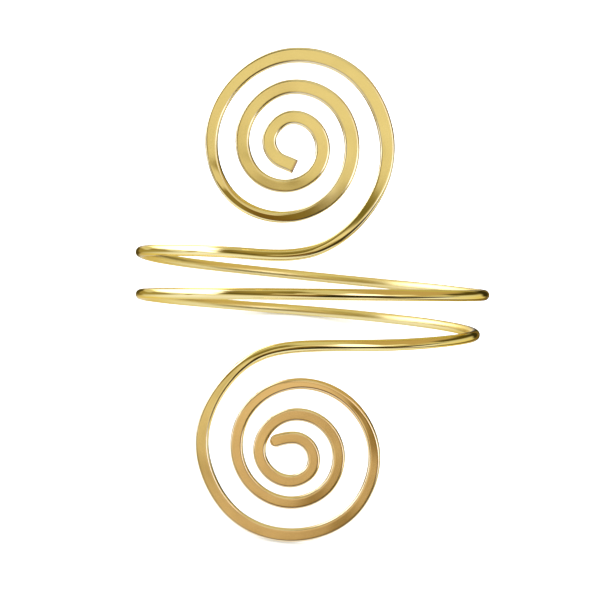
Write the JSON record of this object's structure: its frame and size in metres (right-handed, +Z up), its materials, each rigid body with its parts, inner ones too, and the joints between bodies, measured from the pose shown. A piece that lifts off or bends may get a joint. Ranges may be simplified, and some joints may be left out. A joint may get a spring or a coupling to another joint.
{
  "type": "upper arm cuff",
  "caption": "Open arm cuff of bent gold-coloured wire: a springy coil round the arm that ends in a flat hammered spiral scroll above and below.",
  "frame": {"origin": "middle of the footprint, on the surface that the cuff rests on", "axes": "+Z up from the surface, -Y towards someone who faces the scrolls, +X to that person's right; the coil's axis leans from +Z towards +Y"},
  "size_m": [0.085, 0.1016, 0.0911],
  "materials": {
    "gold_wire": "polished gold-coloured plate on brass wire, hammered flat in the scrolls"
  },
  "bodies": {
    "root": {"cuff": "gold_wire"}
  },
  "joints": []
}
